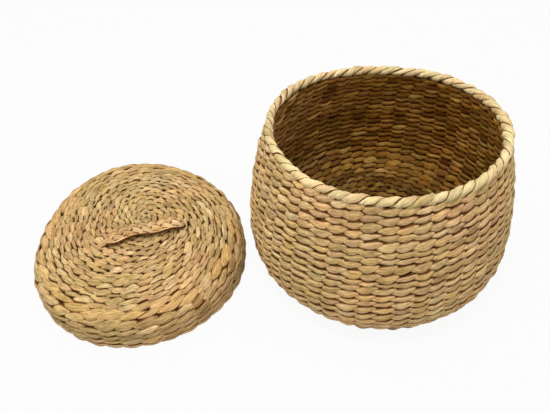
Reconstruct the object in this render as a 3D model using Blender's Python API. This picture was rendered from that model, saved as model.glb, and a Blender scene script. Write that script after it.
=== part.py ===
# Round twined basket of dried water hyacinth, with its loose lid lying beside it.
# Metres, +Z up. The basket's axis is the world Z axis and both bodies stand on z = 0.
# The stakes run from the middle outwards. Each weft course holds them from the outer side,
# and the strands at the back of the courses line the inner side.

import math

import bmesh
import bpy
from mathutils import Matrix, Vector

mm = 0.001

# Strands
gap = 0.3 * mm
strandThickness = 3.6 * mm
strandShoulder = 1.7 * mm
stakeThickness = 2.4 * mm
stakeWidth = 2.8 * mm
sideCount = 18
innerSideCount = 9
innerRingRadius = 31 * mm

# Basket
bellyRadius = 135 * mm
bellyHeight = 49 * mm
floorRadius = 104 * mm
mouthRadius = 117 * mm
basketHeight = 157.5 * mm
baseStartRadius = 6.8 * mm
baseCourseCount = 12
wallCourseCount = 19
wallBendCounts = (0, 2, 4, 7, 11, 15, 19)
basketStakesPerSide = 3

# Rolled border on the rim
rimRadius = 119 * mm
rimWidth = 13 * mm
rimThickness = 12 * mm
rimChamfer = 3.4 * mm

# Lid
lidRadius = 113.5 * mm
lidHeight = 51.5 * mm
lidDomeRise = 8.8 * mm
lidDomeRadius = 98 * mm
lidCornerHeight = 24 * mm
lidStartRadius = 6.6 * mm
lidFlatCourseCount = 2
lidDomeCourseCount = 10
lidSideCourseCount = 4
lidRidgeWidth = 9.4 * mm
lidEdgeHeight = 6.5 * mm
edgeChamfer = 1.7 * mm
lidBendCounts = (0, 3, 6, 10)
lidSideBendCounts = (0, 1, 2, 4)
lidStakesPerSide = 2
lidSpacing = 6.7 * mm
lidSetBack = -6.2 * mm

# Plaited handle on the lid
handleCourse = 6
handleTurn = math.radians(14)
handleSpreadSides = 7
handleWidth = 16 * mm
handleThickness = 4.5 * mm
handleClearance = 6 * mm
handleLegWidth = 3.6 * mm
handleLegThickness = 2.0 * mm
handleShoulderRun = 7 * mm
handleShoulderRise = 1.5 * mm
handleNeckWidth = 9 * mm
handleArchSteps = 8
knotLength = 12 * mm
knotWidth = 9 * mm
knotHeight = 4 * mm

# What follows from those sizes
layerStart = stakeThickness / 2 + gap
layerEnd = layerStart + strandThickness
sideAngle = 2 * math.pi / sideCount
cornerFactor = 1 / math.sqrt(math.cos(sideAngle / 2))
flatFactor = math.sqrt(math.cos(sideAngle / 2))
rimBottom = basketHeight - rimThickness
stakeSpread = sideCount * (stakeWidth + gap) / (2 * math.pi)
basketCrossing = basketStakesPerSide * stakeSpread + stakeWidth
lidCrossing = lidStakesPerSide * stakeSpread + stakeWidth
lidFlatRadius = lidCrossing + gap
lidCentre = Vector((-(bellyRadius + lidRadius + lidSpacing), lidSetBack, 0.0))

curveSamples = 240
straightLimit = 0.99999
mergeDistance = 0.0001 * mm
sharpAngle = math.radians(28)

# Colours of the dried stalks
wallColour = (0.58, 0.38, 0.17)
floorColour = (0.47, 0.31, 0.14)
backColour = (0.40, 0.26, 0.12)
lidColour = (0.60, 0.41, 0.19)
ridgeColour = (0.66, 0.43, 0.17)
borderColour = (0.72, 0.56, 0.29)
stakeColour = (0.42, 0.29, 0.14)
handleColour = (0.68, 0.49, 0.25)


def clearScene():
    for item in list(bpy.data.objects):
        bpy.data.objects.remove(item, do_unlink=True)


def makeMaterial(name, colour, roughness):
    material = bpy.data.materials.new(name)
    material.use_nodes = True
    shader = material.node_tree.nodes["Principled BSDF"]
    shader.inputs["Base Color"].default_value = (*colour, 1.0)
    shader.inputs["Roughness"].default_value = roughness
    shader.inputs["Metallic"].default_value = 0.0
    material.diffuse_color = (*colour, 1.0)
    return material


def addObject(name, mesh, parent, colour, roughness=0.75):
    bmesh.ops.recalc_face_normals(mesh, faces=mesh.faces)
    data = bpy.data.meshes.new(name)
    mesh.to_mesh(data)
    mesh.free()
    data.shade_smooth()
    data.set_sharp_from_angle(angle=sharpAngle)
    data.materials.append(makeMaterial(name + "_finish", colour, roughness))
    item = bpy.data.objects.new(name, data)
    bpy.context.scene.collection.objects.link(item)
    item.parent = parent
    return item


def addEmpty(name, place):
    empty = bpy.data.objects.new(name, None)
    empty.location = place
    bpy.context.scene.collection.objects.link(empty)
    return empty


# Lines in the r-z plane

def arcLengths(points):
    lengths = [0.0]
    for before, after in zip(points, points[1:]):
        lengths.append(lengths[-1] + (after - before).length)
    return lengths


def pointAlong(points, distance):
    lengths = arcLengths(points)
    for index in range(len(points) - 1):
        if lengths[index + 1] >= distance:
            break
    span = lengths[index + 1] - lengths[index]
    return points[index].lerp(points[index + 1], (distance - lengths[index]) / span)


def straightSteps(start, end, count):
    return [start.lerp(end, step / count) for step in range(count + 1)]


def boundariesOn(curve, count, bends, start=0.0):
    # Course boundaries on chords of the curve, which bends only at the listed boundaries
    total = arcLengths(curve)[-1] - start
    knots = [pointAlong(curve, start + total * bend / count) for bend in bends]
    points = []
    for index in range(len(bends) - 1):
        steps = bends[index + 1] - bends[index]
        points += straightSteps(knots[index], knots[index + 1], steps)[:-1]
    return points + [knots[-1]]


def wallCurve():
    # A quarter ellipse round the foot, then a circular arc from the belly in to the mouth
    middleBelly = bellyRadius - layerEnd
    reach = middleBelly - floorRadius
    rise = bellyHeight - layerEnd
    points = []
    for step in range(curveSamples + 1):
        turn = math.pi / 2 * step / curveSamples
        radius = floorRadius + reach * math.sin(turn)
        points.append(Vector((radius, bellyHeight - rise * math.cos(turn))))
    height = rimBottom - bellyHeight
    inset = bellyRadius - mouthRadius
    bow = (height ** 2 + inset ** 2) / (2 * inset)
    lean = math.asin(height / bow)
    top = rimBottom - gap - layerStart * math.sin(lean)
    topTurn = math.asin((top - bellyHeight) / bow)
    for step in range(1, curveSamples + 1):
        turn = topTurn * step / curveSamples
        radius = middleBelly - bow * (1 - math.cos(turn))
        points.append(Vector((radius, bellyHeight + bow * math.sin(turn))))
    return points


def domeHeight(radius):
    # Height of the lid's middle layer above its foot: flat over the crossing, then domed
    share = max(0.0, radius - lidFlatRadius) / (lidDomeRadius - lidFlatRadius)
    return lidHeight - layerEnd - lidDomeRise * share ** 1.6


def lidDomeCurve():
    points = []
    for step in range(curveSamples + 1):
        radius = lidFlatRadius + (lidDomeRadius - lidFlatRadius) * step / curveSamples
        points.append(Vector((radius, domeHeight(radius))))
    return points


def lidSideCurve():
    # A quarter ellipse over the shoulder, then straight down to the edge border
    skirt = lidRadius - layerEnd
    reach = skirt - lidDomeRadius
    drop = domeHeight(lidDomeRadius) - lidCornerHeight
    points = []
    for step in range(curveSamples + 1):
        turn = math.pi / 2 * step / curveSamples
        radius = lidDomeRadius + reach * math.sin(turn)
        points.append(Vector((radius, lidCornerHeight + drop * math.cos(turn))))
    return points + [Vector((skirt, lidEdgeHeight + gap))]


def basketBoundaries():
    axis = Vector((0.0, layerEnd))
    start = Vector((baseStartRadius, layerEnd))
    end = Vector((floorRadius, layerEnd))
    floor = straightSteps(start, end, baseCourseCount)
    wall = boundariesOn(wallCurve(), wallCourseCount, wallBendCounts)
    return [axis] + floor + wall[1:]


def lidBoundaries():
    axis = Vector((0.0, domeHeight(0.0)))
    start = Vector((lidStartRadius, domeHeight(0.0)))
    end = Vector((lidFlatRadius, domeHeight(0.0)))
    flat = straightSteps(start, end, lidFlatCourseCount)
    dome = boundariesOn(lidDomeCurve(), lidDomeCourseCount, lidBendCounts)
    side = boundariesOn(lidSideCurve(), lidSideCourseCount, lidSideBendCounts, lidRidgeWidth)
    return [axis] + flat + dome[1:] + side


# Rings that follow such a line, as polygons round the Z axis

class Layers:
    # Reads a boundary line at any height off it, on its outer side when the height is positive

    def __init__(self, boundaries, outward):
        self.points = boundaries
        self.outward = outward
        self.directions = []
        for before, after in zip(boundaries, boundaries[1:]):
            self.directions.append((after - before).normalized())

    def normal(self, index):
        direction = self.directions[index]
        return Vector((direction.y, -direction.x)) * self.outward

    def mitre(self, index):
        # Normal at a boundary, lengthened so that both neighbours keep their thickness
        before = self.normal(max(index - 1, 0))
        after = self.normal(min(index, len(self.directions) - 1))
        middle = (before + after).normalized()
        return middle / middle.dot(after)

    def corner(self, index, height, course, shift):
        # Nothing is shifted on the axis itself
        point = self.points[index]
        along = self.directions[course] * (shift if point.x > 0 else 0.0)
        return point + self.mitre(index) * height + along

    def courseSection(self, course):
        low = self.corner(course, layerStart, course, gap / 2)
        high = self.corner(course + 1, layerStart, course, -gap / 2)
        shoulder = gap / 2 + strandShoulder
        highFar = self.corner(course + 1, layerEnd, course, -shoulder)
        lowFar = self.corner(course, layerEnd, course, shoulder)
        return [low, high, highFar, lowFar]

    def bendsBetween(self, first, last):
        bends = []
        for index in range(first + 1, last):
            if self.directions[index - 1].dot(self.directions[index]) < straightLimit:
                bends.append(index)
        return bends

    def backSection(self, first, last):
        # The inner layer from one boundary to another, with a corner at each bend
        out = [self.corner(first, -layerStart, first, gap / 2)]
        back = [self.corner(first, -layerEnd, first, gap / 2)]
        for index in self.bendsBetween(first, last):
            out.append(self.corner(index, -layerStart, index, 0.0))
            back.append(self.corner(index, -layerEnd, index, 0.0))
        out.append(self.corner(last, -layerStart, last - 1, -gap / 2))
        back.append(self.corner(last, -layerEnd, last - 1, -gap / 2))
        return out + back[::-1]


def addRing(mesh, section, sides, phase):
    # Spins a closed section round the Z axis, its first corner at the given angle
    turn = Matrix.Rotation(phase, 3, "Z")
    places = [Vector((point.x * cornerFactor, 0.0, point.y)) for point in section]
    verts = [mesh.verts.new(turn @ place) for place in places]
    edges = []
    for index in range(len(verts)):
        if max(places[index - 1].x, places[index].x) > 0:
            edges.append(mesh.edges.new((verts[index - 1], verts[index])))
    bmesh.ops.spin(
        mesh, geom=verts + edges, cent=(0, 0, 0), axis=(0, 0, 1),
        angle=2 * math.pi, steps=sides, use_merge=True,
    )
    bmesh.ops.remove_doubles(mesh, verts=mesh.verts, dist=mergeDistance)


def addCourse(name, layers, course, phase, parent, colour):
    mesh = bmesh.new()
    nearAxis = layers.points[course + 1].x < innerRingRadius
    sides = innerSideCount if nearAxis else sideCount
    addRing(mesh, layers.courseSection(course), sides, phase)
    return addObject(name, mesh, parent, colour)


def addBackStrands(name, layers, first, last, phase, parent):
    mesh = bmesh.new()
    addRing(mesh, layers.backSection(first, last), sideCount, phase)
    return addObject(name, mesh, parent, backColour)


# Stakes

def stakeSection(point, mitre, slot):
    # Three corners: a flat side to the outer strands and a ridge to the inner ones
    half = stakeThickness / 2
    outer = point + mitre * half
    inner = point - mitre * half
    slope = math.tan(sideAngle / 2) * slot
    corners = []
    for place, across in ((outer, -0.5), (outer, 0.5), (inner, 0.0)):
        side = point.x * flatFactor * slope + across * stakeWidth
        corners.append(Vector((place.x * flatFactor, side, place.y)))
    return corners


def stakeRings(mesh, layers, crossing, slot, turn):
    # The corners of one stake at the crossing, at each bend and at its end
    rotation = Matrix.Rotation(turn, 3, "Z")
    last = len(layers.points) - 1
    root = Vector((crossing, layers.points[0].y))
    sections = [stakeSection(root, layers.mitre(0), slot)]
    for index in layers.bendsBetween(0, last):
        sections.append(stakeSection(layers.points[index], layers.mitre(index), slot))
    end = layers.points[last] - layers.directions[-1] * gap
    sections.append(stakeSection(end, layers.mitre(last), slot))
    return [[mesh.verts.new(rotation @ corner) for corner in ring] for ring in sections]


def addStakes(name, layers, perSide, crossing, phase, parent):
    # All the stakes, joined where they cross in the middle
    mesh = bmesh.new()
    stakes = []
    for side in range(sideCount):
        turn = phase + sideAngle * (side + 0.5)
        for step in range(perSide):
            slot = (2 * step + 1) / perSide - 1
            stakes.append(stakeRings(mesh, layers, crossing, slot, turn))
    for rings in stakes:
        for before, after in zip(rings, rings[1:]):
            for index in range(3):
                corners = (before[index - 1], before[index], after[index], after[index - 1])
                mesh.faces.new(corners)
        mesh.faces.new(rings[-1])
    roots = [rings[0] for rings in stakes]
    mesh.faces.new([corner for root in roots for corner in root[:2]])
    mesh.faces.new([root[2] for root in roots])
    for index, root in enumerate(roots):
        before = roots[index - 1]
        mesh.faces.new((before[1], root[0], root[2], before[2]))
    return addObject(name, mesh, parent, stakeColour)


# Borders

def addRim(parent):
    # The rolled border: an eight-cornered ring with a flat top for the lid to sit on
    inner = rimRadius - rimWidth
    profile = [
        (inner, rimBottom + rimChamfer), (inner + rimChamfer, rimBottom),
        (rimRadius - rimChamfer, rimBottom), (rimRadius, rimBottom + rimChamfer),
        (rimRadius, basketHeight - rimChamfer), (rimRadius - rimChamfer, basketHeight),
        (inner + rimChamfer, basketHeight), (inner, basketHeight - rimChamfer),
    ]
    mesh = bmesh.new()
    addRing(mesh, [Vector(point) for point in profile], sideCount, 0.0)
    return addObject("rim_border", mesh, parent, borderColour)


def addLidEdge(phase, parent):
    # The border that closes the skirt and that the lid stands on
    inner = lidRadius - 2 * layerEnd
    profile = [
        (inner, 0.0), (lidRadius - edgeChamfer, 0.0), (lidRadius, edgeChamfer),
        (lidRadius, lidEdgeHeight - edgeChamfer), (lidRadius - edgeChamfer, lidEdgeHeight),
        (inner, lidEdgeHeight),
    ]
    mesh = bmesh.new()
    addRing(mesh, [Vector(point) for point in profile], sideCount, phase)
    return addObject("lid_edge_border", mesh, parent, lidColour)


# Handle

def handleLegs(layers, phase):
    # The two places where the plait goes through the lid, between two courses and two stakes
    place = Vector((layers.points[handleCourse].x * flatFactor, 0.0, 0.0))
    turns = (phase + sideAngle / 2, phase + sideAngle / 2 + handleSpreadSides * sideAngle)
    return [Matrix.Rotation(turn, 3, "Z") @ place for turn in turns]


def crossSection(place, direction, thickness, width):
    normal = Vector((-direction.z, 0.0, direction.x)) * thickness / 2
    across = Vector((0.0, width / 2, 0.0))
    return [
        place + normal - across, place + normal + across,
        place - normal + across, place - normal - across,
    ]


def handleSide(reach, end, surface, underside):
    # Sections from the knot under the lid to the start of the arch, at one end of the handle
    place = Vector((reach * end, 0.0, underside - gap - knotHeight))
    rise = Vector((0.0, 0.0, -end))
    bend = Vector((1.0, 0.0, -end)).normalized()
    knotTop = place + Vector((0.0, 0.0, knotHeight))
    legTop = Vector((place.x, 0.0, surface + handleShoulderRise))
    sections = [
        crossSection(place, rise, knotLength, knotWidth),
        crossSection(knotTop, rise, knotLength, knotWidth),
        crossSection(knotTop, rise, handleLegThickness, handleLegWidth),
        crossSection(legTop, bend, handleLegThickness, handleLegWidth),
    ]
    return sections if end < 0 else sections[::-1]


def handleArch(reach, low, high):
    # A low arch whose width grows from the legs to the middle
    run = reach - handleShoulderRun
    sections = []
    for step in range(handleArchSteps + 1):
        along = -1 + 2 * step / handleArchSteps
        place = Vector((run * along, 0.0, high - (high - low) * along ** 2))
        slope = -2 * (high - low) * along / run
        direction = Vector((1.0, 0.0, slope)).normalized()
        width = handleWidth - (handleWidth - handleNeckWidth) * along ** 4
        sections.append(crossSection(place, direction, handleThickness, width))
    return sections


def addHandle(layers, legs, parent):
    middle = (legs[0] + legs[1]) / 2
    reach = (legs[1] - legs[0]).length / 2
    direction = (legs[1] - legs[0]).normalized()
    legRadius = legs[0].length
    surface = domeHeight(legRadius) + layerEnd
    underside = domeHeight(legRadius + knotLength / 2) - layerEnd
    low = surface + handleThickness / 2 + handleShoulderRise
    high = domeHeight(middle.length) + layerEnd + handleClearance + handleThickness / 2
    sections = handleSide(reach, -1, surface, underside)
    sections += handleArch(reach, low, high)
    sections += handleSide(reach, 1, surface, underside)
    mesh = bmesh.new()
    rings = [[mesh.verts.new(corner) for corner in section] for section in sections]
    for before, after in zip(rings, rings[1:]):
        for index in range(4):
            corners = (before[index - 1], before[index], after[index], after[index - 1])
            mesh.faces.new(corners)
    mesh.faces.new(rings[0])
    mesh.faces.new(rings[-1])
    handle = addObject("lid_handle_plait", mesh, parent, handleColour)
    handle.location = middle
    handle.rotation_euler.z = math.atan2(direction.y, direction.x)


def addPassages(layers, legs, parent):
    # Cutter: the slots that the strands leave open round the handle's legs
    direction = (legs[1] - legs[0]).normalized()
    turn = Matrix.Rotation(math.atan2(direction.y, direction.x), 4, "Z")
    height = layers.points[handleCourse].y
    size = Vector((handleLegThickness, handleLegWidth, 2 * layerEnd)) + Vector((2, 2, 6)) * gap
    mesh = bmesh.new()
    for leg in legs:
        place = Matrix.Translation(leg + Vector((0.0, 0.0, height)))
        bmesh.ops.create_cube(mesh, size=1.0, matrix=place @ turn @ Matrix.Diagonal((*size, 1.0)))
    cutter = addObject("lid_handle_passages", mesh, parent, stakeColour)
    cutter.hide_render = True
    cutter.display_type = "WIRE"
    return cutter


def cutWith(item, cutter):
    boolean = item.modifiers.new("passages", "BOOLEAN")
    boolean.operation = "DIFFERENCE"
    boolean.solver = "EXACT"
    boolean.object = cutter


# Assembly

def courseColour(base, index):
    # Neighbouring courses differ a little, as the stalks do
    shade = 1 + 0.06 * math.sin(2.4 * index)
    return tuple(channel * shade for channel in base)


def buildBasket():
    basket = addEmpty("basket", (0.0, 0.0, 0.0))
    layers = Layers(basketBoundaries(), 1)
    wallFirst = 1 + baseCourseCount
    wallLast = wallFirst + wallCourseCount
    addCourse("base_weft_start", layers, 0, 0.0, basket, floorColour)
    for index in range(1, wallFirst):
        colour = courseColour(floorColour, index)
        addCourse(f"base_course_{index:02d}", layers, index, 0.0, basket, colour)
    for index in range(wallFirst, wallLast):
        name = f"wall_course_{index - baseCourseCount:02d}"
        addCourse(name, layers, index, 0.0, basket, courseColour(wallColour, index))
    addBackStrands("base_back_strands", layers, 0, wallFirst, 0.0, basket)
    addBackStrands("wall_back_strands", layers, wallFirst, wallLast, 0.0, basket)
    addStakes("basket_stakes", layers, basketStakesPerSide, basketCrossing, 0.0, basket)
    addRim(basket)


def buildLid():
    lid = addEmpty("lid", lidCentre)
    layers = Layers(lidBoundaries(), -1)
    phase = handleTurn - math.pi / 2 - (handleSpreadSides + 1) * sideAngle / 2
    ridge = 1 + lidFlatCourseCount + lidDomeCourseCount
    last = ridge + 1 + lidSideCourseCount
    legs = handleLegs(layers, phase)
    cutter = addPassages(layers, legs, lid)
    addCourse("lid_weft_start", layers, 0, phase, lid, lidColour)
    for index in range(1, ridge):
        colour = courseColour(lidColour, index)
        ring = addCourse(f"lid_top_course_{index:02d}", layers, index, phase, lid, colour)
        if index in (handleCourse - 1, handleCourse):
            cutWith(ring, cutter)
    addCourse("lid_ridge_course", layers, ridge, phase, lid, ridgeColour)
    for index in range(ridge + 1, last):
        colour = courseColour(lidColour, index)
        addCourse(f"lid_side_course_{index - ridge:02d}", layers, index, phase, lid, colour)
    cutWith(addBackStrands("lid_top_back_strands", layers, 0, ridge, phase, lid), cutter)
    addBackStrands("lid_side_back_strands", layers, ridge, last, phase, lid)
    addStakes("lid_stakes", layers, lidStakesPerSide, lidCrossing, phase, lid)
    addLidEdge(phase, lid)
    addHandle(layers, legs, lid)


clearScene()
buildBasket()
buildLid()
bpy.context.view_layer.update()
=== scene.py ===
import math

import bpy
import numpy as np
from mathutils import Matrix, Vector


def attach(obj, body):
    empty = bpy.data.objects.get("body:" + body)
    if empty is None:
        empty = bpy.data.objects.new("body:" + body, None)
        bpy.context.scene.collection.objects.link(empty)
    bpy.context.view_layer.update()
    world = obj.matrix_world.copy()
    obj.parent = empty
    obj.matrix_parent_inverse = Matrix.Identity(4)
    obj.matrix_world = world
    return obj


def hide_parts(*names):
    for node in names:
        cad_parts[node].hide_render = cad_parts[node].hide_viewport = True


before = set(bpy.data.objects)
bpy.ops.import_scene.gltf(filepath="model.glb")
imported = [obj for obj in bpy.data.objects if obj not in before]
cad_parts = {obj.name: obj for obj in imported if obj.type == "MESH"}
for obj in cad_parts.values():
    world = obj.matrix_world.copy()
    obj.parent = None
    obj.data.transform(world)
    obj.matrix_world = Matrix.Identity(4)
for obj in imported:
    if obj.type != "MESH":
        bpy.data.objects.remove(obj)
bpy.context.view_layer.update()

# A round basket twined from dried water hyacinth, its lid set down on its left.
# Every course is a pair of stalks that twist about each other round the stakes.

mm = .001
scene = bpy.context.scene


# Small helpers

def ease01(value):
    return value * value * (3 - 2 * value)


def ramp(value, start, over):
    # 0 up to start, and 1 from so much further on
    return np.clip((value - start) / over, 0, 1)


def signedPower(value, power):
    return np.sign(value) * np.abs(value) ** power


def column(*values):
    return np.stack(values, axis=1)


def unit(vectors):
    return vectors / np.linalg.norm(vectors, axis=1)[:, None]


def distancesAlong(points):
    # How far along a path each of its points is
    return np.concatenate(([0], np.cumsum(np.linalg.norm(np.diff(points, axis=0), axis=1))))


def soften(points, width, **padding):
    # A running mean over so many points on either side
    mean = np.ones(2 * width + 1) / (2 * width + 1)
    return column(*(np.convolve(np.pad(values, width, **padding), mean, "valid") for values in points.T))


def spread(values, place):
    # Values at each stake, passed smoothly from one to the next
    index = np.floor(place).astype(int)
    share = ease01(place - index)
    first, second = values[index % len(values)], values[(index + 1) % len(values)]
    if values.ndim > 1:
        share = share[:, None]
    return first * (1 - share) + second * share


def wander(rng, size, waves=(2, 3, 5, 8, 13, 17, 23), fall=.3):
    # A smooth closed wander round the basket, made of so many waves a turn, the shorter ones lower
    made = [(count, rng.normal(0, size / count ** fall), rng.uniform(0, 2 * math.pi)) for count in waves]
    return lambda angle: sum(high * np.sin(count * angle + start) for count, high, start in made)


# Lines in the r-z plane that the courses lie on

arcSteps = 60


class Line:
    # The middle of a woven wall, read by the distance along it from the axis. outward is 1 where the wall's
    # outer side is on the right of the way along, and -1 on the left. blur is how far its turns are softened

    def __init__(self, points, outward, blur, steps=900):
        points = np.array(points)
        reached = distancesAlong(points)
        self.length = reached[-1]
        self.along = np.linspace(0, self.length, steps)
        self.r, self.z = (np.interp(self.along, reached, values) for values in points.T)
        slope = column(np.gradient(self.r), np.gradient(self.z))
        slope = unit(soften(slope, max(1, int(blur / self.along[1])), mode="edge"))
        self.normalR, self.normalZ = slope[:, 1] * outward, -slope[:, 0] * outward
        self.outward = outward

    def at(self, distance, off):
        # r and z of a point at a distance along the line and a height off it
        r, z, normalR, normalZ = (np.interp(distance, self.along, values)
                                  for values in (self.r, self.z, self.normalR, self.normalZ))
        past = distance - np.clip(distance, 0, self.length)   # beyond its end the line runs on straight
        return (r + off * normalR - past * normalZ * self.outward,
                z + off * normalZ + past * normalR * self.outward)


def quarter(start, end):
    # A quarter ellipse in the r-z plane that leaves start along r and reaches end along z
    return [(start[0] + (end[0] - start[0]) * math.sin(turn), end[1] + (start[1] - end[1]) * math.cos(turn))
            for turn in np.linspace(0, math.pi / 2, arcSteps)]


# Colours of the stalks

palette = {
    "straw": (.62, .405, .188),
    "honey": (.64, .41, .165),
    "rose": (.58, .365, .20),
    "cream": (.75, .56, .31),
    "olive": (.50, .36, .148),
    "umber": (.32, .185, .078),
    "ivory": (.84, .70, .39),
}
toneMix = {
    "own": .6, "stalk": .25, "mean": .15,   # the parts of a float's colour: its own, its stalk's, the piece's
    "perStalk": 9,                          # how many floats one stalk makes
    "dull": .82, "bright": 1.16,
    "stretch": 500,                         # in mm: within which each strand's fibres start somewhere
}


def stalkTones(rng, count, shares):
    # A colour for each float: a stalk keeps a tone for a while, and each float adds its own
    names = list(shares)
    odds = np.array([shares[name] for name in names], float)
    odds /= odds.sum()
    colours = np.array([palette[name] for name in names])
    own = colours[rng.choice(len(names), count, p=odds)]
    stalks = colours[rng.choice(len(names), count // toneMix["perStalk"] + 2, p=odds)]
    shared = stalks[np.arange(count) // toneMix["perStalk"]]
    mixed = own * toneMix["own"] + shared * toneMix["stalk"] + (odds @ colours) * toneMix["mean"]
    return mixed * rng.uniform(toneMix["dull"], toneMix["bright"], (count, 1))


def fibresOf(rng, along, across, off):
    # Where the finish finds its fibres, in mm
    return column(along / mm + toneMix["stretch"] * rng.random(), across / mm, off / mm)


# Meshes of single strands

def firstOf(places):
    # The first of each face's two places round a ring, where the last one is followed by 0
    low, high = places.min(1), places.max(1)
    return np.where(high - low > 1, high, low)


def unroll(ring, step, side, cells, steps, sides):
    # A UV map with one cell for each stretch of the strand from a stake to the next
    mesh = ring.data
    corners = np.empty(len(mesh.loops), int)
    mesh.loops.foreach_get("vertex_index", corners)
    quads = corners.reshape(-1, 4)
    along, around = step[quads], side[quads]
    first, lowest = firstOf(along), firstOf(around)
    cell = first // steps
    u = ((along - first[:, None]) % (cells * steps) + (first % steps)[:, None]) / steps
    v = ((around - lowest[:, None]) % sides + lowest[:, None]) / sides
    margin = .03
    perRow = math.ceil(math.sqrt(cells))
    u = ((cell % perRow)[:, None] + margin + u * (1 - 2 * margin)) / perRow
    v = ((cell // perRow)[:, None] + margin + v * (1 - 2 * margin)) / perRow
    layer = mesh.uv_layers.new(name="OFBake")
    layer.uv.foreach_set("vector", np.stack((u, v), axis=2).astype(np.float32).ravel())


def readPlaces(piece):
    places = np.empty(len(piece.data.vertices) * 3)
    piece.data.vertices.foreach_get("co", places)
    return places.reshape(-1, 3).T


def strandRing(cells, steps, sides):
    # A plain ring to lay a strand with. For each vertex it gives its place along it, in cells, and its angle
    total = cells * steps
    bpy.ops.object.select_all(action="DESELECT")
    bpy.ops.mesh.primitive_torus_add(
        major_segments=total, minor_segments=sides, major_radius=1, minor_radius=.25, generate_uvs=False)
    ring = bpy.context.object
    x, y, z = readPlaces(ring)
    step = np.round(np.arctan2(y, x) / (2 * math.pi) * total).astype(int) % total
    side = np.round(np.arctan2(z, np.hypot(x, y) - 1) / (2 * math.pi) * sides).astype(int) % sides
    unroll(ring, step, side, cells, steps, sides)
    return ring, step / steps, 2 * math.pi * side / sides


def layOut(piece, places, tone, fibre, paintedShade):
    # Moves a strand's vertices to their places and notes what its finish reads
    mesh = piece.data
    mesh.vertices.foreach_set("co", places.astype(np.float32).ravel())
    full = np.concatenate((tone, np.ones((len(tone), 1))), axis=1)
    for name, kind, field, values in (
        ("stalkTone", "FLOAT_COLOR", "color", full),
        ("fibre", "FLOAT_VECTOR", "vector", fibre),
        ("paintedShade", "FLOAT", "value", paintedShade),
    ):
        mesh.attributes.new(name, kind, "POINT").data.foreach_set(field, values.astype(np.float32).ravel())
    mesh.update()


def joinAs(name, parts, finish):
    bpy.ops.object.select_all(action="DESELECT")
    for part in parts:
        part.select_set(True)
    bpy.context.view_layer.objects.active = parts[0]
    if len(parts) > 1:
        bpy.ops.object.join()
    piece = bpy.context.object
    bpy.ops.object.shade_smooth()
    piece.name = piece.data.name = name
    piece.data.materials.clear()
    piece.data.materials.append(finish)
    return piece


def keep(piece, body, slot, *nodes):
    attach(piece, body)
    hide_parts(*nodes)


# Weaving

weave = {
    "steps": 10, "sides": 12,   # of the mesh: from one stake to the next, and round the strand
    "reach": 2.3 * mm,          # how far a strand swings out and in
    "proud": .5 * mm,           # how far out it lies in all, because the floats are pulled tight inside
    "thick": 5 * mm,
    "squeeze": .42,             # how much thicker it is between two stakes, where it is narrow
    "dive": 1.3,                # how long it stays in the middle between two stakes
    "tip": .8,                  # where a float ends, in stakes from its middle
    "point": .04,               # how wide it still is at its end
    "rise": .27,                # of a course's width: how much higher or lower its tips are
    "plump": 1.12,              # of a course's width, over a stake
    "core": 1.08,               # how wide its middle stays between two stakes, which closes the weave
    "round": .96,               # 1 is an ellipse, less is squarer
    "face": .48,                # where a section passes from its outside to its inside, as a cosine
    "pinch": 3.4 * mm, "flatter": .8,   # a course narrower than this swings less and is up to so much thinner
    # how much single floats differ
    "drift": .05, "shift": .3 * mm, "bulge": .35 * mm, "thickness": .08,
    "fatness": .1, "fatLimits": (.6, 1.5),
    "uneven": .45 * mm, "own": .55 * mm,    # how far a course's edge wanders, and moves at each stake
    "held": .3,                         # how much of that is left on the first and last edges
    "calm": .35, "free": 38 * mm,       # how much on the short ones in the middle, and where it is all there
    "crease": .58, "creaseOver": .3,    # where the painted shade in the seam beside a strand starts, and how soon it is full
    "sunk": .42, "sunkOver": .35,       # the same painted shade where a strand dives
    "inside": (.7, .54, .21),           # the inner side is painted darker, as shade
    "paintedLightInsideLeft": (.2, .32, 1.1),            # painted light: lighter and less yellow on the left, where light falls in
    "paintedLightOutsideLeft": (0, 0, 0),              # painted light: how much paler the outer side is on the left
    "shade": .3, "shadeWays": (1, 1.3, 1.9), "tints": (.04, .04, .1),   # how much floats differ in there
}


def floatSection(turned, sideCos, look):
    # How wide a strand is, and how far it leans. Its outside shows one float and its inside the next, so its
    # section leads from one to the other
    near = np.stack((turned, turned - np.where(turned > 0, 1, -1)))
    far = np.abs(near)
    floats = np.clip(1 - (far / look["tip"]) ** 2, look["point"], 1)
    between = np.sign(near) * (1 - far) / (1 - look["tip"])
    slopes = np.where(far < look["tip"], near / look["tip"], between) * ((1,), (-1,))
    faces = ease01(np.clip(np.stack((sideCos, -sideCos)) / look["face"], 0, 1))
    flank = 1 - faces.sum(0)
    full = (faces * floats).sum(0) + flank * np.maximum(floats.max(0), look["core"])
    slope = (faces * slopes).sum(0) + flank * slopes.mean(0)
    return full, slope


def sideShade(pick, tone, within, left, look):
    # Painted light and shade. The outer side is painted paler on the left, where light falls. On the inner
    # side the strands are painted darker, as shade, and the paler ones and those on the left are less yellow
    light = pick(look["shade"])[:, None] * look["shadeWays"]
    tint = column(*(pick(size) for size in look["tints"]))
    shade = np.exp(light + tint) * look["inside"] * (1 + left * look["paintedLightInsideLeft"])
    return tone * ((1 - within) * (1 + left * look["paintedLightOutsideLeft"]) + within * shade)


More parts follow.
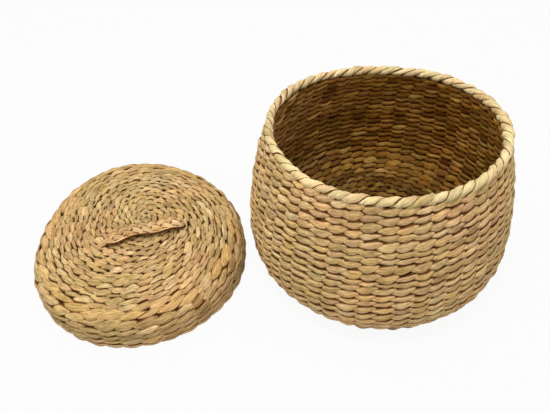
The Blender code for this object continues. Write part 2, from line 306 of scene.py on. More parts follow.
def layCourse(name, line, low, high, count, turn, look, rng, settle, finish):
    # Two strands round count stakes, between the edges low and high, which go by the angle. With an odd count
    # one long strand goes round twice. settle moves the points of a round piece to those of the handmade one
    strands = 1 if count % 2 else 2
    total = count * 2 // strands
    stray = look.get("stray", ())
    parts = []
    for strand in range(strands):
        ring, place, around = strandRing(total, look["steps"], look["sides"])
        pick = lambda size: spread(rng.normal(0, size, total), place)
        sideCos, sideSin = np.cos(around), np.sin(around)
        turned = (place - strand + pick(look["drift"]) + 1) % 2 - 1   # 0 over a stake, 1 behind one
        lean = spread(stray, place) if len(stray) == count else 0
        angle = turn + 2 * math.pi * (place + lean) / count
        bottom, top = low(angle), high(angle)
        width = top - bottom
        pinched = np.clip(1 - width / look["pinch"], 0, 1)
        full, slope = floatSection(turned, sideCos, look)
        fat = np.clip(1 + pick(look["fatness"]), *look["fatLimits"])
        across = width / 2 * look["plump"] * full * fat * signedPower(sideSin, look["round"])
        swing = np.cos(math.pi * turned)
        thick = look["thick"] / 2 * (1 + pick(look["thickness"]))
        thick = thick * (1 + look["squeeze"] * (1 - np.abs(swing))) * (1 - look["flatter"] * pinched)
        rise = width * look["rise"] * slope + pick(look["shift"])
        out = signedPower(swing, look["dive"]) * (look["reach"] + pick(look["bulge"])) * (1 - pinched)
        off = look["proud"] + out + thick * signedPower(sideCos, look["round"])
        r, z = line.at((bottom + top) / 2 + line.outward * (rise + across), off)
        places = settle(column(r * np.cos(angle), r * np.sin(angle), np.maximum(z, 0)))
        # painted shade: the seams and the stretches that dive are painted dark
        skin = np.where(off > 0, 1, -1) * look["proud"] + look["reach"] + look["thick"] / 2
        sunk = ramp(1 - np.abs(off) / skin, look["sunk"], look["sunkOver"])
        seam = ramp(np.abs(sideSin), look["crease"], look["creaseOver"])
        paintedShade = 1 - (1 - sunk) * (1 - seam)
        tone = spread(stalkTones(rng, total, look["tones"]), place)
        within = np.clip(.5 - (off - look["proud"]) / (2 * look["reach"]), 0, 1)[:, None]
        left = np.clip(-np.cos(angle), 0, 1)[:, None]
        tone = sideShade(pick, tone, within, left, look)
        layOut(ring, places, tone, fibresOf(rng, angle * r.mean(), across, off), paintedShade)
        parts.append(ring)
    return joinAs(name, parts, finish)


def layRope(name, radius, height, count, look, rng, settle, finish):
    # A rope of some strands laid round the axis, with count bumps on its outer side
    parts = []
    drift, lift = wander(rng, look["uneven"]), wander(rng, look["uneven"])
    for strand in range(look["strands"]):
        ring, place, around = strandRing(count, look["steps"], look["sides"])
        pick = lambda size: spread(rng.normal(0, size, count), place)
        sideCos, sideSin = np.cos(around), np.sin(around)
        angle = 2 * math.pi * place / count
        turn = 2 * math.pi * (place + strand + pick(look["drift"])) / look["strands"]
        # slower where it lies on top and in front, so that a bump is a long leaf
        turn = turn - look["dwell"] / 2 * np.sin(2 * (turn - look["front"]))
        slim = look["slim"] * np.clip(np.cos(angle - look["slimPlace"]), 0, 1)
        fat = (1 + pick(look["fatness"])) * (1 - slim)
        # each strand is half of the rope's round section, drawn in at its edges
        size = look["size"] * fat * (1 - look["crease"] * np.abs(sideSin) ** 3)
        size = size * (1 + look["ridge"] * np.cos(look["ridges"] * around + place))
        out = size * np.where(sideCos > 0, sideCos, look["inner"] * sideCos)
        across = size * sideSin
        r = radius + drift(angle) + out * np.cos(turn) - across * np.sin(turn)
        z = height + lift(angle) + out * np.sin(turn) + across * np.cos(turn)
        places = settle(column(r * np.cos(angle), r * np.sin(angle), z))
        # painted shade on the strands' edges and on the rope's inner side
        paintedShade = ramp(np.abs(sideSin), *look["seam"]) * look["seamDepth"] + (sideCos < look["hidden"])
        tone = spread(stalkTones(rng, count, look["tones"]), place)
        layOut(ring, places, tone, fibresOf(rng, angle * radius, across, out), paintedShade)
        parts.append(ring)
    return joinAs(name, parts, finish)


rod = {"tones": 12, "seam": (.55, .35), "seamDepth": .9}   # how many tones it has, and where painted shade darkens its edges


def layRod(path, wideWay, wide, thick, sides, rng, tones, blunt):
    # A single stalk along a path, closed at both ends. wide and thick are numbers, or given at each point.
    # blunt is the share of its length over which an end is rounded
    rings = len(path) - 1
    bpy.ops.object.select_all(action="DESELECT")
    bpy.ops.mesh.primitive_uv_sphere_add(segments=sides, ring_count=rings, radius=1)
    piece = bpy.context.object
    x, y, z = readPlaces(piece)
    ring = np.round((1 - np.arccos(np.clip(z, -1, 1)) / math.pi) * rings).astype(int)
    around = np.arctan2(y, x)
    ahead = unit(np.gradient(path, axis=0))
    first = unit(wideWay - ahead * np.sum(wideWay * ahead, axis=1)[:, None])
    second = np.cross(ahead, first)
    share = np.arange(rings + 1) / rings
    end = np.sqrt(np.clip(1 - (1 - np.clip(np.minimum(share, 1 - share) / blunt, 0, 1)) ** 2, 0, 1))
    across, off = (wide / 2 * end)[ring] * np.cos(around), (thick / 2 * end)[ring] * np.sin(around)
    places = path[ring] + first[ring] * across[:, None] + second[ring] * off[:, None]
    fibre = fibresOf(rng, distancesAlong(path)[ring], across, off)
    tone = spread(stalkTones(rng, rod["tones"], tones), share[ring] * (rod["tones"] - 1))
    layOut(piece, places, tone, fibre, ramp(np.abs(np.cos(around)), *rod["seam"]) * rod["seamDepth"])
    return piece


# Finishes

class Value:
    # A socket that takes part in sums and products

    def __init__(self, nodes, socket):
        self.nodes, self.socket = nodes, socket

    def math(self, operation, first, second):
        return self.nodes.node("ShaderNodeMath", {"operation": operation}, {0: first, 1: second})

    def larger(self, other):
        return self.math("MAXIMUM", self, other)

    def __add__(self, other):
        return self.math("ADD", self, other)

    def __radd__(self, other):
        return self.math("ADD", other, self)

    def __mul__(self, other):
        return self.math("MULTIPLY", self, other)

    def __rmul__(self, other):
        return self.math("MULTIPLY", other, self)

    def __pow__(self, other):
        return self.math("POWER", self, other)


class Nodes:
    # The nodes of a material or of the world, around the shader that it starts with

    def __init__(self, owner, shader):
        owner.use_nodes = True
        self.tree = owner.node_tree
        self.shader = self.tree.nodes[shader]
        self.surface = Value(self, self.shader.outputs[0])
        self.output = self.shader.outputs[0].links[0].to_socket

    def node(self, kind, settings=None, values=None, out=0):
        node = self.tree.nodes.new(kind)
        for name, value in (settings or {}).items():
            setattr(node, name, value)
        for name, value in (values or {}).items():
            self.join(value, node.inputs[name])
        return Value(self, node.outputs[out])

    def join(self, value, socket):
        if isinstance(value, Value):
            self.tree.links.new(value.socket, socket)
        else:
            socket.default_value = value

    def set(self, **values):
        for name, value in values.items():
            self.join(value, self.shader.inputs[name.replace("_", " ")])

    def attribute(self, name, out):
        return self.node("ShaderNodeAttribute", {"attribute_name": name}, out=out)

    def scaled(self, vector, scale):
        return self.node("ShaderNodeVectorMath", {"operation": "MULTIPLY"}, {0: vector, 1: scale})

    def noise(self, vector, scale=1, detail=2, roughness=.5):
        values = {"Vector": vector, "Scale": scale, "Detail": detail, "Roughness": roughness}
        return self.node("ShaderNodeTexNoise", None, values)

    def ease(self, value, low, high, start=0, end=1):
        values = {0: value, 1: low, 2: high, 3: start, 4: end}
        return self.node("ShaderNodeMapRange", {"interpolation_type": "SMOOTHSTEP"}, values)

    def mix(self, share, first, second, blend="MIX"):
        settings = {"data_type": "RGBA", "blend_type": blend, "clamp_factor": True}
        return self.node("ShaderNodeMix", settings, {0: share, 6: first, 7: second}, out=2)

    def tinted(self, share, colour, tint):
        return self.mix(share, colour, tint, "MULTIPLY")


stalk = {
    "broad": (.07, .75, .75), "fine": (.12, 1.7, 1.7),   # the fibres' two noises, along and across, in mm
    "fineDetail": 4, "fineRoughness": .6,
    "grain": (.55, .45), "relief": (.6, .4),             # how much of each is in the colour and in the relief
    "contrast": (.36, .64), "low": .6, "high": 1.24,     # the grain's range, drawn from dark to light
    "green": 1.08, "blue": 1.35, "blueShare": .93,       # their powers: the paler, the less yellow
    # stretches that change the colour: how fine, over which range, how much, to what
    "drift": 15, "drifts": (.36, .64), "rosy": (1.025, .98, 1.01, 1), "mossy": (.975, .995, .98, 1),
    "warmth": 38, "warmths": (.45, .7), "warm": .3, "warmColour": (1.03, .93, .78, 1),
    "spots": 110, "spotted": (.62, .74), "stain": .35, "stainColour": (.62, .48, .36, 1),
    # painted shade in the seams: where it starts and is full, how strong, its colour
    "gaps": (.1, .85), "gap": .97, "paintedShadeColour": (.17, .078, .018, 1),
    "sheen": (.3, .7), "smooth": .5, "rough": .8, "gloss": .1,
    "bump": .9, "bumpHeight": .5 * mm,
}


def stalkFinish(name, **changes):
    # Dried stalk: long fibres, with shade painted into its seams, and paler and browner stretches
    look = {**stalk, **changes}
    material = bpy.data.materials.new(name)
    finish = Nodes(material, "Principled BSDF")
    tone = finish.attribute("stalkTone", "Color")
    fibre = finish.attribute("fibre", "Vector")
    paintedShade = finish.attribute("paintedShade", "Fac")
    place = finish.node("ShaderNodeTexCoord", out="Object")
    broad = finish.noise(finish.scaled(fibre, look["broad"]))
    fine = finish.noise(finish.scaled(fibre, look["fine"]), 1, look["fineDetail"], look["fineRoughness"])
    grain = broad * look["grain"][0] + fine * look["grain"][1]
    light = finish.ease(grain, *look["contrast"], look["low"], look["high"])
    green, blue = light ** look["green"], light ** look["blue"] * look["blueShare"]
    shades = finish.node("ShaderNodeCombineColor", None, {0: light, 1: green, 2: blue})
    colour = finish.tinted(1, tone, shades)
    drift = finish.ease(finish.noise(place, look["drift"], detail=1), *look["drifts"])
    colour = finish.tinted(1, colour, finish.mix(drift, look["rosy"], look["mossy"]))
    warmth = finish.ease(finish.noise(place, look["warmth"], detail=1), *look["warmths"])
    colour = finish.tinted(warmth * look["warm"], colour, look["warmColour"])
    spots = finish.ease(finish.noise(place, look["spots"]), *look["spotted"])
    colour = finish.tinted(spots * look["stain"], colour, look["stainColour"])
    # mixes in the painted shade
    gap = finish.ease(paintedShade, *look["gaps"])
    colour = finish.tinted(gap * look["gap"], colour, look["paintedShadeColour"])
    relief = broad * look["relief"][0] + fine * look["relief"][1]
    bump = {"Strength": look["bump"], "Distance": look["bumpHeight"], "Height": relief}
    finish.set(Base_Color=colour, Roughness=finish.ease(grain, *look["sheen"], look["smooth"], look["rough"]),
               Specular_IOR_Level=look["gloss"], Normal=finish.node("ShaderNodeBump", None, bump))
    return material


finishes = {
    "wall": stalkFinish("dried_stalk_wall"),
    "floor": stalkFinish("dried_stalk_floor"),
    "lid": stalkFinish("dried_stalk_lid", low=.56, high=1.2, gaps=(.17, .92)),
    "border": stalkFinish("pale_stalk_border", low=.74, high=1.14, gaps=(.3, 1), stain=.2,
                          bumpHeight=.8 * mm),
    "handle": stalkFinish("dried_stalk_handle"),
    "stake": stalkFinish("split_stake", gap=.3),
}
print("finishes made")


# What basket and lid share

stakeLook = {
    "wide": 2.8 * mm, "thick": 2.2 * mm, "off": .6 * mm,
    "sides": 6, "step": 9 * mm, "fewest": 6, "blunt": .04,   # of the mesh: round it, along it, at its ends
    "seed": 5, "tones": {"umber": 60, "olive": 40},
}
startLook = {
    "eye": 1.6 * mm, "stakes": 6,                    # the coil: where it begins, and what it goes round
    "folds": ((.4, .6 * mm), (1.9, -.6 * mm)),       # the folded stalk in its middle: directions and heights
    "half": 4.6 * mm, "bow": 1.2 * mm, "wide": 4.8 * mm, "thick": 4.2 * mm,
    "sides": 12, "steps": 13, "blunt": .3,
}


def stakeGap(piece):
    return 2 * math.pi / piece["stakes"]


def stakesAt(radius, piece):
    # How many stakes a course goes round
    stages = (*piece["growth"], (piece["grown"], piece["stakes"]))
    return [count for start, count in stages if radius / mm >= start][-1]


def layStakes(name, line, piece, settle):
    # The stakes, with more of them pushed in beside the first ones as the work grows
    look, rng = stakeLook, np.random.default_rng(stakeLook["seed"])
    stages = (*piece["rods"], (piece["lastRods"], line.length + piece["rodsPast"], piece["stakes"]))
    rods = []
    for start, end, count in stages:
        steps = max(look["fewest"], int((end - start) / look["step"]))
        r, z = line.at(np.linspace(start, end, steps), look["off"])
        for index in range(count):
            angle = stakeGap(piece) / 2 + 2 * math.pi * index / count
            path = settle(column(r * math.cos(angle), r * math.sin(angle), z))
            rods.append(layRod(path, (-math.sin(angle), math.cos(angle), 0), look["wide"], look["thick"],
                               look["sides"], rng, look["tones"], look["blunt"]))
    return joinAs(name, rods, finishes["stake"])


def edgesAlong(places, rng, look, piece):
    # The edges between the courses: each wanders a little, and moves on its own at each stake
    edges = []
    for index, place in enumerate(places):
        held = look["held"] if index in (0, len(places) - 1) else 1
        wave, own = wander(rng, look["uneven"] * held), rng.normal(0, look["own"] * held, piece["stakes"])

        def edge(angle, place=place, wave=wave, own=own):
            start = place(angle) if callable(place) else place
            stake = (angle - stakeGap(piece) / 2) / (2 * math.pi) * piece["stakes"]
            return start + np.clip(start / look["free"], look["calm"], 1) * (wave(angle) + spread(own, stake))

        edges.append(edge)
    return edges


def rowsUnder(solidEdges, low, high, least=.5 * mm):
    # The solids have fewer rows, so a course lies over one or two of them
    first, last = np.searchsorted(solidEdges, (low + least, high - least))
    return range(max(first, 1), min(last, len(solidEdges) - 1) + 1)


def buildStart(name, line, reach, look, rng, settle, finish):
    # The tight first turn round the crossing of the stakes, with a folded stalk in its middle
    eye = lambda angle: startLook["eye"] + 0 * angle
    parts = [layCourse(name, line, eye, reach, startLook["stakes"], 0, look, rng, settle, finish)]
    steps = np.linspace(-1, 1, startLook["steps"])
    along = startLook["half"] * steps
    for turn, lift in startLook["folds"]:
        z = line.at(0 * steps, look["proud"] + lift - startLook["bow"] * steps ** 2)[1]
        path = settle(column(along * math.cos(turn), along * math.sin(turn), z))
        way = (-math.sin(turn), math.cos(turn), 0)
        parts.append(layRod(path, way, startLook["wide"], startLook["thick"], startLook["sides"], rng,
                            look["tones"], startLook["blunt"]))
    return joinAs(name, parts, finish)


# Basket

basket = {
    "bellyRadius": 135 * mm, "bellyHeight": 49 * mm, "floorRadius": 104 * mm,
    "mouthRadius": 117 * mm, "height": 157.5 * mm, "rimThickness": 12 * mm,
    "skin": 5.1 * mm,                         # from the middle of the wall to its outer side
    "underRim": 1.7 * mm,                     # how far below the border the middle of the wall ends
    "intoRim": 6.5 * mm,                      # and how far past its end the last course goes
    "rimMiddle": 111 * mm, "rimHeight": 152.6 * mm, "rimBumps": 50,
    "start": 6.8 * mm, "floorCourses": 12, "wallCourses": 21, "solidCourses": 19,
    "stakes": 50, "grown": 80,                # all of them stand from this radius in mm
    "growth": ((0, 8), (15, 16), (24, 24), (39, 34), (60, 42)),      # and fewer further in
    "rods": ((8 * mm, 26 * mm, 16), (22 * mm, 62 * mm, 32)),         # stakes that end inside the base
    "lastRods": 58 * mm, "rodsPast": 3 * mm,  # where all the others start, and how far past the wall they go
    "pairs": .05,                             # the stakes stand in pairs, so much closer together
    "stray": .05, "strayKept": .85, "strayNew": .04,       # and none is quite straight
    "slip": .07,                              # how far a course is moved on from the last one
    "dim": .68, "dimLess": .04,               # painted shade: the inside is painted darkest at the foot of the wall
    "lean": (3.6 * mm, 8 * mm),               # how far the mouth sits off the middle of the base
    "leanWay": 1.5,                           # and how late on the way up it gets there
    "oval": (.011, -.038),                    # how much wider and shallower it is than round
    "deep": .026, "deepAt": .6,               # how much deeper than round its belly is, and where
    # and how much narrower at each height in mm
    "narrow": ((0, .003), (30, .005), (50, .01), (90, .018), (130, .016), (160, .008)),
    "tilt": (-.0145, -.031), "warp": (1.85 * mm, -.72 * mm),     # of the mouth
    "blur": 4 * mm, "seed": 7,
}
wallLook = {
    # the outer wall is painted paler on the left, as light falling from there
    **weave, "plump": 1.19, "rise": .3, "paintedLightOutsideLeft": (.1, .14, .17),
    "tones": {"straw": 42, "honey": 15, "rose": 20, "cream": 12, "olive": 8, "umber": 3},
}
floorLook = {
    # the inner side of the floor is painted much darker, as shade
    **weave, "inside": (.34, .265, .105),
    "tones": {"straw": 40, "honey": 15, "rose": 15, "olive": 20, "umber": 10},
}
rimLook = {
    "steps": 8, "sides": 18,
    "strands": 2, "size": 5.1 * mm, "inner": .3,      # how far a strand reaches from the rope's middle
    "crease": .24, "ridge": .02, "ridges": 5,         # how far its edges are drawn in, and the ribs on it
    "seam": (.92, .1), "seamDepth": .8, "hidden": -.1,     # where shade is painted: its edges, and its inner side
    "dwell": .42, "front": math.radians(50),          # how long it stays on the side at this angle
    "slim": .12, "slimPlace": math.radians(165),      # the rope is slimmer on the left
    "uneven": .4 * mm, "drift": .06, "fatness": .1,
    "tones": {"ivory": 50, "cream": 34, "straw": 10, "olive": 6},
}


def basketLine():
    # The base, the round of the belly, and an arc up to the border
    belly = (basket["bellyRadius"] - basket["skin"], basket["bellyHeight"])
    points = [(0, basket["skin"])] + quarter((basket["floorRadius"], basket["skin"]), belly)
    rise = basket["height"] - basket["rimThickness"] - basket["bellyHeight"]
    inset = basket["bellyRadius"] - basket["mouthRadius"]
    bow = (rise ** 2 + inset ** 2) / (2 * inset)
    for turn in np.linspace(0, math.asin((rise - basket["underRim"]) / bow), arcSteps)[1:]:
        points.append((belly[0] - bow * (1 - math.cos(turn)), belly[1] + bow * math.sin(turn)))
    return Line(points, 1, basket["blur"])


def settleBasket(places):
    # The handmade basket's mouth leans back, and isn't quite round or level
    x, y, z = places.T
    share = np.clip(z / basket["height"], 0, 1) ** basket["leanWay"]
    twice = 2 * np.arctan2(y, x)
    (tiltX, tiltY), (warpCos, warpSin) = basket["tilt"], basket["warp"]
    lift = tiltX * x + tiltY * y + warpCos * np.cos(twice) + warpSin * np.sin(twice)
    belly = np.clip(1 - np.abs(z / basket["bellyHeight"] - basket["deepAt"]), 0, 1)
    narrow = np.interp(z / mm, *zip(*basket["narrow"]))
    x = x * (1 + basket["oval"][0] * share - narrow) + basket["lean"][0] * share
    y = y * (1 + basket["oval"][1] * share + basket["deep"] * belly) + basket["lean"][1] * share
    return column(x, y, z + lift * share)


def buildBasket():
    rng = np.random.default_rng(basket["seed"])
    line = basketLine()
    gap = stakeGap(basket)
    floorEnd, floorCount, wallCount = basket["floorRadius"], basket["floorCourses"], basket["wallCourses"]
    floorStep = (floorEnd - basket["start"]) / floorCount
    floorEdges = [basket["start"] + step * floorStep for step in range(floorCount + 1)]
    wallEdges = np.linspace(floorEnd, line.length + basket["intoRim"], wallCount + 1)
    solidEdges = np.linspace(floorEnd, line.length, basket["solidCourses"] + 1)
    places = floorEdges + list(wallEdges[1:])
    edges = edgesAlong(places, rng, wallLook, basket)
    pairs = basket["pairs"] * (-1) ** np.arange(basket["stakes"])
    stray, turn = rng.normal(0, basket["stray"], basket["stakes"]), gap / 2
    for index in range(floorCount):
        name = f"base_course_{index + 1:02d}"
        count = stakesAt((places[index] + places[index + 1]) / 2, basket)
        piece = layCourse(name + "_twined", line, edges[index], edges[index + 1], count, gap / 2, floorLook,
                          rng, settleBasket, finishes["floor"])
        keep(piece, "basket", "floor_weft", name, "base_back_strands")
    for index in range(wallCount):
        rows = rowsUnder(solidEdges, wallEdges[index], wallEdges[index + 1])
        nodes = [f"wall_course_{row:02d}" for row in rows or [basket["solidCourses"]]]
        stray = basket["strayKept"] * stray + rng.normal(0, basket["strayNew"], basket["stakes"])
        turn += rng.normal(0, basket["slip"]) * gap
        # painted shade on the inner side, deeper lower down
        dim = min(basket["dim"] + basket["dimLess"] * index, 1)
        look = {**wallLook, "stray": stray + pairs, "inside": np.array(wallLook["inside"]) * dim}
        name = f"wall_course_{index + 1:02d}_twined"
        low, high = edges[floorCount + index:floorCount + index + 2]
        piece = layCourse(name, line, low, high, basket["stakes"], turn, look, rng, settleBasket,
                          finishes["wall"])
        keep(piece, "basket", "wall_weft", "wall_back_strands", *nodes)
    start = buildStart("base_weft_start_coil", line, edges[0], floorLook, rng, settleBasket,
                       finishes["floor"])
    keep(start, "basket", "floor_weft", "base_weft_start")
    print("basket courses laid")
    rope = layRope("rim_border_rope", basket["rimMiddle"], basket["rimHeight"], basket["rimBumps"], rimLook,
                   rng, settleBasket, finishes["border"])
    keep(rope, "basket", "border", "rim_border")
    print("rim laid")
    keep(layStakes("basket_stakes_split", line, basket, settleBasket), "basket", "stakes", "basket_stakes")


buildBasket()


# Lid

lid = {
    "centre": (-255.2 * mm, -6.2 * mm),
    "radius": 113.5 * mm, "height": 51.5 * mm, "skin": 5.1 * mm, "cornerHeight": 24 * mm,
    "domeRise": 8.8 * mm, "domeRadius": 98 * mm, "domeWay": 1.6, "flatRadius": 20.86 * mm,
    "start": 6 * mm, "topCourses": 16, "sideCourses": 4, "edgeHeight": 6.5 * mm,
    "ridgeWidth": 7.8 * mm, "ridgePlace": -3.2 * mm, "ridgeFloats": 32,
    "solidStarts": (6.6 * mm, 13.73 * mm), "solidRings": 11,   # where the rings of the solids lie
    "stakes": 38, "grown": 67,                # all of them stand from this radius in mm
    "growth": ((0, 7), (11, 10), (17, 14), (23, 18), (29, 22), (36, 26), (44, 30), (55, 34)),
    "rods": ((6 * mm, 28 * mm, 10), (24 * mm, 58 * mm, 22)), "lastRods": 54 * mm, "rodsPast": -4 * mm,
    "stray": .07, "slip": .12,                # how crooked the stakes are, and how far a course is moved on
    "slope": (-.012, .056), "farSlope": .024,      # the far side of the top is a little higher
    # how it strays from round: bulges, size, place
    "swell": 1.006, "oval": ((2, .0219, 108.7), (3, .019, -11.4), (4, .0088, 22.9)),
    "spiral": (10 * mm, 14 * mm), "spiralWay": 1.5,     # the first turns lie a little off the middle
    # courses that only fill up the near side, which side that is, and how much of them is gone elsewhere
    "crescents": (4, 7, 10, 13), "near": math.radians(235), "nearReach": (.6, .8), "gone": .95,
    "blur": 5 * mm, "seed": 23,
}
lidLook = {
    **weave, "reach": 1.8 * mm, "thick": 4.6 * mm, "plump": 1.27, "rise": .34,
    "drift": .07, "fatness": .16, "uneven": .5 * mm, "own": .7 * mm,
    "tones": {"straw": 38, "honey": 4, "rose": 9, "cream": 20, "olive": 23, "umber": 6},
}
ridgeLook = {
    **lidLook, "proud": .9 * mm, "rise": .4, "plump": 1.2, "crease": .66,
    "tones": {"straw": 45, "honey": 50, "cream": 5},
}


def lidTop(radius):
    share = np.clip((radius - lid["flatRadius"]) / (lid["domeRadius"] - lid["flatRadius"]), 0, None)
    return lid["height"] - lid["skin"] - lid["domeRise"] * share ** lid["domeWay"]


def lidLine():
    # The shallow dome, the round of the shoulder, and the skirt straight down to the floor
    points = [(radius, lidTop(radius)) for radius in np.linspace(0, lid["domeRadius"], arcSteps)[:-1]]
    skirt = lid["radius"] - lid["skin"]
    points += quarter((lid["domeRadius"], lidTop(lid["domeRadius"])), (skirt, lid["cornerHeight"]))
    return Line(points + [(skirt, 0)], -1, lid["blur"])


def settleLid(places):
    # From a round lid on the axis to the handmade one in its place
    x, y, z = places.T
    share = np.clip(1 - (np.hypot(x, y) / lid["domeRadius"]) ** lid["spiralWay"], 0, 1)
    lift = lid["slope"][0] * x + lid["slope"][1] * y + lid["farSlope"] * np.clip(y, 0, None)
    z = z + lift * np.clip(z / (lid["height"] - lid["domeRise"]), 0, 1)
    angle = np.arctan2(y, x)
    longer = lid["swell"] + sum(size * np.cos(bulges * (angle - math.radians(place)))
                                for bulges, size, place in lid["oval"])
    x = x * longer + lid["spiral"][0] * share + lid["centre"][0]
    y = y * longer + lid["spiral"][1] * share + lid["centre"][1]
    return column(x, y, z)


def topEdge(index, end):
    # The edge before one of the top's courses, the crescents among them, by the angle
    def place(angle):
        middle, swing = lid["nearReach"]
        hidden = (1 - ease01(np.clip(middle + swing * np.cos(angle - lid["near"]), 0, 1))) * lid["gone"]
        full = lid["topCourses"] - hidden * len(lid["crescents"])
        passed = index - hidden * sum(course < index for course in lid["crescents"])
        return lid["start"] + (end - lid["start"]) * passed / full
    return place


def lidCourse(index, low, high, solidEdges):
    # What a course from low to high is called, its slot, and the solids that it lies over
    ridge = lid["topCourses"]
    if index < ridge:
        rings = [f"lid_top_course_{ring:02d}" for ring in rowsUnder(solidEdges, low, high)]
        return f"lid_top_course_{index + 1:02d}", "lid_weft", ["lid_top_back_strands", *rings]
    if index == ridge:
        return "lid_ridge_course", "lid_ridge", ["lid_side_back_strands", "lid_ridge_course"]
    if index <= ridge + lid["sideCourses"]:
        name = f"lid_side_course_{index - ridge:02d}"
        return name, "lid_weft", ["lid_side_back_strands", name]
    return "lid_edge_border", "lid_weft", ["lid_edge_border"]


def buildLid():
    rng = np.random.default_rng(lid["seed"])
    line = lidLine()
    gap = stakeGap(lid)
    ridge = lid["topCourses"]
    dome = float(np.interp(lid["domeRadius"], line.r, line.along))
    ridgeStart = dome + lid["ridgePlace"]
    ridgeEnd, skirtEnd = ridgeStart + lid["ridgeWidth"], line.length - lid["edgeHeight"]
    solidEdges = [*lid["solidStarts"], *np.linspace(lid["flatRadius"], dome, lid["solidRings"])]
    places = [*np.linspace(lid["start"], ridgeStart, ridge + 1),
              *np.linspace(ridgeEnd, skirtEnd, lid["sideCourses"] + 1), line.length]
    starts = [topEdge(index, ridgeStart) for index in range(ridge + 1)] + places[ridge + 1:]
    edges = edgesAlong(starts, rng, lidLook, lid)
    stray = rng.normal(0, lid["stray"], lid["stakes"])
    for index in range(len(places) - 1):
        low, high = places[index:index + 2]
        name, slotName, nodes = lidCourse(index, low, high, solidEdges)
        look, count = {**lidLook, "stray": stray}, stakesAt((low + high) / 2, lid)
        if index == ridge:
            look, count = ridgeLook, lid["ridgeFloats"]
        turn = gap * (.5 + rng.normal(0, lid["slip"])) if count == lid["stakes"] else rng.uniform(0, gap)
        piece = layCourse(name + "_twined", line, edges[index], edges[index + 1], count, turn, look,
                          rng, settleLid, finishes["lid"])
        keep(piece, "lid", slotName, *nodes)
    start = buildStart("lid_weft_start_coil", line, edges[0], lidLook, rng, settleLid, finishes["lid"])
    keep(start, "lid", "lid_weft", "lid_weft_start")
    print("lid courses laid")
    keep(layStakes("lid_stakes_split", line, lid, settleLid), "lid", "stakes", "lid_stakes")


buildLid()


# The plaited handle

handle = {
    "ends": ((-34 * mm, -19.8 * mm), (51.5 * mm, 2.5 * mm)),   # from the lid's middle
    # the middle line: shares of the way from end to end, and heights in mm
    "line": ((0, 37), (0, 43.5), (.02, 47.6), (.06, 50.2), (.15, 52.3), (.5, 54),
             (.85, 54), (.96, 52.8), (.99, 50), (1, 45), (1, 37)),
    "bow": 3.5 * mm, "sway": 2.6 * mm, "swayFrom": .345, "swayLength": .65,   # how it bends to the back
    "steps": 190, "blur": .02,
    "width": 19 * mm, "strands": 3, "strand": 8.6 * mm, "thick": 3.4 * mm,
    "over": 1.4 * mm, "period": 31 * mm,        # how high the strands pass over each other, and how often
    "legs": 12 * mm, "opening": (.2, .07),      # how soon it is wide, behind each leg
    "neck": 4.8 * mm, "neckStrand": .6, "neckSwing": .25, "neckOver": .4,     # and what is left of it there
    "cord": 2.8 * mm, "cordThick": .9, "cordNeck": .8, "cordLift": .5 * mm,   # the stalk along its front edge
    "tilt": .1, "sides": 14, "blunt": .01, "seed": 41,
    "tones": {"straw": 45, "cream": 20, "honey": 15, "rose": 15, "umber": 5},
}
knot = {
    "turns": 1.3, "size": (4 * mm, 3 * mm, .9 * mm),
    "nod": 1.5, "ends": .35,                    # how often it rises and falls, and how wide its ends lie
    "wide": 3.8 * mm, "thick": 3.2 * mm, "sides": 10, "steps": 40, "blunt": .05,
}


def handleLine():
    (startX, startY), (endX, endY) = handle["ends"]
    corners, last = np.array(handle["line"]), len(handle["line"]) - 1
    between = np.linspace(0, last, 10 * last + 1)
    share, z = (np.interp(between, np.arange(last + 1), values) for values in corners.T)
    sway = handle["sway"] * np.cos(2 * math.pi * (share - handle["swayFrom"]) / handle["swayLength"])
    bow = np.sin(math.pi * share) * (handle["bow"] + sway)
    points = column(startX + (endX - startX) * share, startY + (endY - startY) * share + bow, z * mm)
    reached = distancesAlong(points)
    even = np.linspace(0, reached[-1], handle["steps"])
    points = column(*(np.interp(even, reached, values) for values in points.T))
    return soften(points, int(handle["steps"] * handle["blur"]), mode="reflect", reflect_type="odd"), even


def tieKnot(end, rng):
    # A knot under the lid, on an end of the plait
    turn = np.linspace(0, 2 * math.pi * knot["turns"], knot["steps"])
    swell = np.sin(np.linspace(knot["ends"], math.pi - knot["ends"], knot["steps"]))
    path = end + column(np.cos(turn) * swell, np.sin(turn) * swell, np.cos(turn * knot["nod"])) * knot["size"]
    return layRod(path, (0, 0, 1), knot["wide"], knot["thick"], knot["sides"], rng, handle["tones"],
                  knot["blunt"])


def buildHandle():
    rng = np.random.default_rng(handle["seed"])
    middle, along = handleLine()
    middle = middle + (*lid["centre"], 0)
    (startX, startY), (endX, endY) = handle["ends"]
    way = np.array((startY - endY, endX - startX, 0)) / math.hypot(endX - startX, endY - startY)
    up = np.cross(unit(np.gradient(middle, axis=0)), way)
    # narrow at the legs, wide between them
    spanned = (along - handle["legs"]) / (along[-1] - 2 * handle["legs"])
    first, last = handle["opening"]
    opened = ease01(np.clip(np.minimum(spanned / first, (1 - spanned) / last), 0, 1))
    least = lambda share: share + (1 - share) * opened
    width = handle["neck"] + (handle["width"] - handle["neck"]) * opened
    strand = handle["strand"] * least(handle["neckStrand"])

    def lay(side, lift, wide, thick):
        path = middle + way * side[:, None] + up * (lift - handle["tilt"] * side)[:, None]
        return layRod(path, way, wide, thick, handle["sides"], rng, handle["tones"], handle["blunt"])

    rods = []
    for index in range(handle["strands"]):
        turn = 2 * math.pi * (along / handle["period"] + index / handle["strands"])
        swing = (width - strand) / 2 + handle["neck"] * handle["neckSwing"] * (1 - opened)
        lift = handle["over"] * np.sin(2 * turn) * least(handle["neckOver"])
        rods.append(lay(swing * np.sin(turn), lift, strand, handle["thick"]))
    cord = handle["cord"]
    rods.append(lay((cord - width) / 2, handle["cordLift"] * opened, cord * least(handle["cordNeck"]),
                    cord * handle["cordThick"]))
    rods += [tieKnot(middle[end], rng) for end in (0, -1)]
    keep(joinAs("lid_handle_braid", rods, finishes["handle"]), "lid", "handle", "lid_handle_plait")
    print("handle plaited")


buildHandle()


# Stage, camera and light

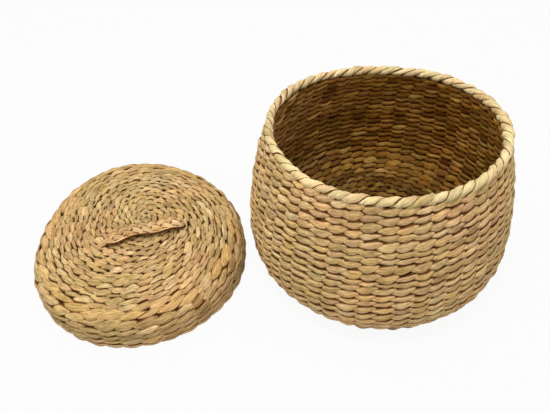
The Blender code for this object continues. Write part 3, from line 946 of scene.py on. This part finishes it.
view = {
    "place": (-.1066, -.4463, .5039), "pitch": .779, "roll": -.066,   # metres and radians
    "focal": 600, "width": 550,   # of the photograph, in pixels
    "sensor": 36, "nearest": .01, "farthest": 50,
}
studio = {
    "white": (1, 1, 1, 1),
    "floorSize": 6, "floorDrop": .2 * mm, "floorColour": (.55, .55, .54, 1), "floorRoughness": .9,
    "floorGlow": .93,   # how much of the floor's white is its own light, and the rest shows the shadows
    "sky": (1, .99, .97, 1), "skyStrength": .72,
    "lampPlace": (-.25, -.2, 2), "lampAim": (-.1, 0, .05), "lampSize": .7, "lampPower": 24,
}


def addItem(name, data):
    item = bpy.data.objects.new(name, data)
    scene.collection.objects.link(item)
    return item


def placeCamera():
    # Pitched down from the level, then rolled about its own line of sight
    cosine, sine = math.cos(view["pitch"]), math.sin(view["pitch"])
    level, up, back = Vector((1, 0, 0)), Vector((0, sine, cosine)), Vector((0, -cosine, sine))
    cosine, sine = math.cos(view["roll"]), math.sin(view["roll"])
    right, top = cosine * level + sine * up, cosine * up - sine * level
    camera = bpy.data.cameras.new("photo_view")
    camera.sensor_width = view["sensor"]
    camera.lens = view["focal"] * camera.sensor_width / view["width"]
    camera.clip_start, camera.clip_end = view["nearest"], view["farthest"]
    item = addItem("photo_view", camera)
    turn = Matrix((right, top, back)).transposed().to_4x4()
    item.matrix_world = Matrix.Translation(view["place"]) @ turn
    scene.camera = item


def addLamp():
    lamp = bpy.data.lights.new("key", "AREA")
    lamp.shape, lamp.size, lamp.energy = "DISK", studio["lampSize"], studio["lampPower"]
    item = addItem("key", lamp)
    item.location = studio["lampPlace"]
    aim = Vector(studio["lampAim"]) - Vector(studio["lampPlace"])
    item.rotation_euler = aim.to_track_quat("-Z", "Y").to_euler()


def whiteBack(nodes, shown):
    # Camera, glossy and transmission rays see the plain white back, the others the real surface
    camera, glossy, through = (nodes.node("ShaderNodeLightPath", out=f"Is {kind} Ray")
                               for kind in ("Camera", "Glossy", "Transmission"))
    seen = camera.larger(glossy).larger(through)
    nodes.join(nodes.node("ShaderNodeMixShader", None, {0: seen, 1: nodes.surface, 2: shown}), nodes.output)


def setStage():
    bpy.ops.object.select_all(action="DESELECT")
    bpy.ops.mesh.primitive_plane_add(size=studio["floorSize"], location=(0, 0, -studio["floorDrop"]))
    floor = bpy.context.object
    floor.name = "floor"
    material = bpy.data.materials.new("pale_floor")
    finish = Nodes(material, "Principled BSDF")
    finish.set(Base_Color=studio["floorColour"], Roughness=studio["floorRoughness"])
    glow = finish.node("ShaderNodeEmission", None, {"Color": studio["white"], "Strength": 1})
    shares = {0: studio["floorGlow"], 1: finish.surface, 2: glow}
    whiteBack(finish, finish.node("ShaderNodeMixShader", None, shares))
    floor.data.materials.append(material)

    scene.world = bpy.data.worlds.new("studio")
    sky = Nodes(scene.world, "Background")
    sky.set(Color=studio["sky"], Strength=studio["skyStrength"])
    whiteBack(sky, sky.node("ShaderNodeBackground", None, {"Color": studio["white"], "Strength": 1}))

    addLamp()
    scene.view_settings.view_transform = "Standard"


placeCamera()
setStage()
print("stage set")
